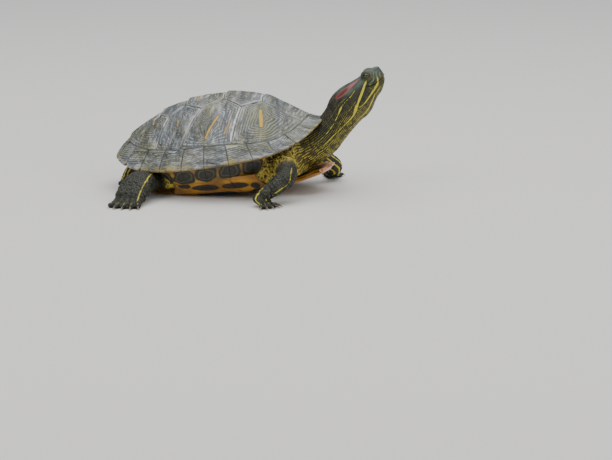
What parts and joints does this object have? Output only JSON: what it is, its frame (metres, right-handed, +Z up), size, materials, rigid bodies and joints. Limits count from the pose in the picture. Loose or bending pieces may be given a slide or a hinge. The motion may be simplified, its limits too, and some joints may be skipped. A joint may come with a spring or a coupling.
{
  "type": "red-eared slider turtle model",
  "caption": "Life-size still model of a basking red-eared slider turtle, chest raised and head held high, with a scute-by-scute shell; for display.",
  "frame": {"origin": "middle of the footprint of the whole turtle, on the floor that its feet and the back of its plastron rest on", "axes": "+X towards the head, +Y towards the turtle's left, +Z up"},
  "size_m": [0.2716, 0.2372, 0.1238],
  "materials": {
    "carapace_horn": "dry horn with growth rings, chalky and unpolished",
    "plastron_horn": "smooth horn, orange-yellow with dark blotches",
    "neck_skin": "fine scaled skin, dark green with yellow stripes",
    "leg_skin": "coarse scaled skin, charcoal with yellow stripes",
    "belly_skin": "soft folded skin, dark and yellow",
    "eye_gloss": "wet gloss, green iris with a dark bar"
  },
  "bodies": {
    "root": {"nuchal": "carapace_horn", "vertebral_1": "carapace_horn", "vertebral_2": "carapace_horn", "vertebral_3": "carapace_horn", "vertebral_4": "carapace_horn", "vertebral_5": "carapace_horn", "pleural_left_1": "carapace_horn", "pleural_left_2": "carapace_horn", "pleural_left_3": "carapace_horn", "pleural_left_4": "carapace_horn", "marginal_left_1": "carapace_horn", "marginal_left_2": "carapace_horn", "marginal_left_3": "carapace_horn", "marginal_left_4": "carapace_horn", "marginal_left_5": "carapace_horn", "marginal_left_6": "carapace_horn", "marginal_left_7": "carapace_horn", "marginal_left_8": "carapace_horn", "marginal_left_9": "carapace_horn", "marginal_left_10": "carapace_horn", "marginal_left_11": "carapace_horn", "marginal_left_12": "carapace_horn", "pleural_right_1": "carapace_horn", "pleural_right_2": "carapace_horn", "pleural_right_3": "carapace_horn", "pleural_right_4": "carapace_horn", "marginal_right_1": "carapace_horn", "marginal_right_2": "carapace_horn", "marginal_right_3": "carapace_horn", "marginal_right_4": "carapace_horn", "marginal_right_5": "carapace_horn", "marginal_right_6": "carapace_horn", "marginal_right_7": "carapace_horn", "marginal_right_8": "carapace_horn", "marginal_right_9": "carapace_horn", "marginal_right_10": "carapace_horn", "marginal_right_11": "carapace_horn", "marginal_right_12": "carapace_horn", "gular_left": "plastron_horn", "humeral_left": "plastron_horn", "pectoral_left": "plastron_horn", "abdominal_left": "plastron_horn", "femoral_left": "plastron_horn", "anal_left": "plastron_horn", "gular_right": "plastron_horn", "humeral_right": "plastron_horn", "pectoral_right": "plastron_horn", "abdominal_right": "plastron_horn", "femoral_right": "plastron_horn", "anal_right": "plastron_horn", "trunk": "belly_skin", "neck": "neck_skin", "head": "neck_skin", "tail": "leg_skin", "foreleg_right": "leg_skin", "foreleg_left": "leg_skin", "hindleg_right": "leg_skin", "hindleg_left": "leg_skin", "eye_left": "eye_gloss", "eye_right": "eye_gloss"}
  },
  "joints": []
}
